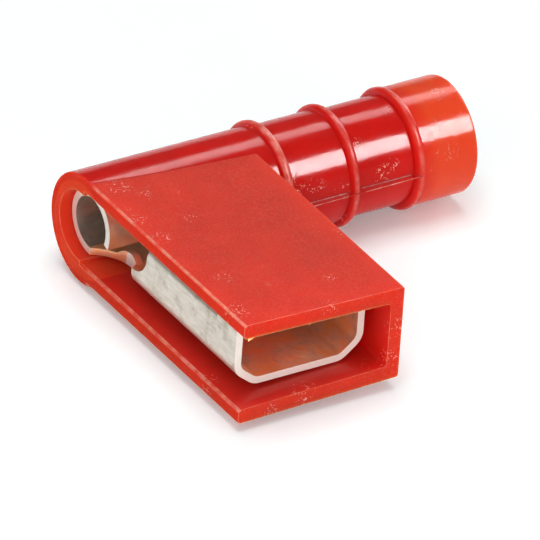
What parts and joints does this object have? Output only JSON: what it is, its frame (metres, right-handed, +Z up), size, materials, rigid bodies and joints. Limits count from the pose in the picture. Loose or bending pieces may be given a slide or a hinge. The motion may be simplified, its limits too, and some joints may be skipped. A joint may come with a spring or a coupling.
{
  "type": "insulated flag receptacle terminal",
  "caption": "Right-angle crimp receptacle for a flat tab: a rolled wire barrel and a railed box in a ribbed, moulded insulator with a flat sleeve.",
  "frame": {"origin": "under the middle of the part's box, on the surface that the tube's rings rest on", "axes": "+X along the wire tube towards the wire entry, -Y out of the tab mouth, +Z up through the flat sleeve"},
  "size_m": [0.0222, 0.0192, 0.0068],
  "materials": {
    "nylon": "moulded nylon, glossy tube and satin sleeve",
    "tinned_brass": "satin tin plate over stamped brass sheet"
  },
  "bodies": {
    "root": {"insulator_housing": "nylon", "terminal": "tinned_brass"}
  },
  "joints": []
}
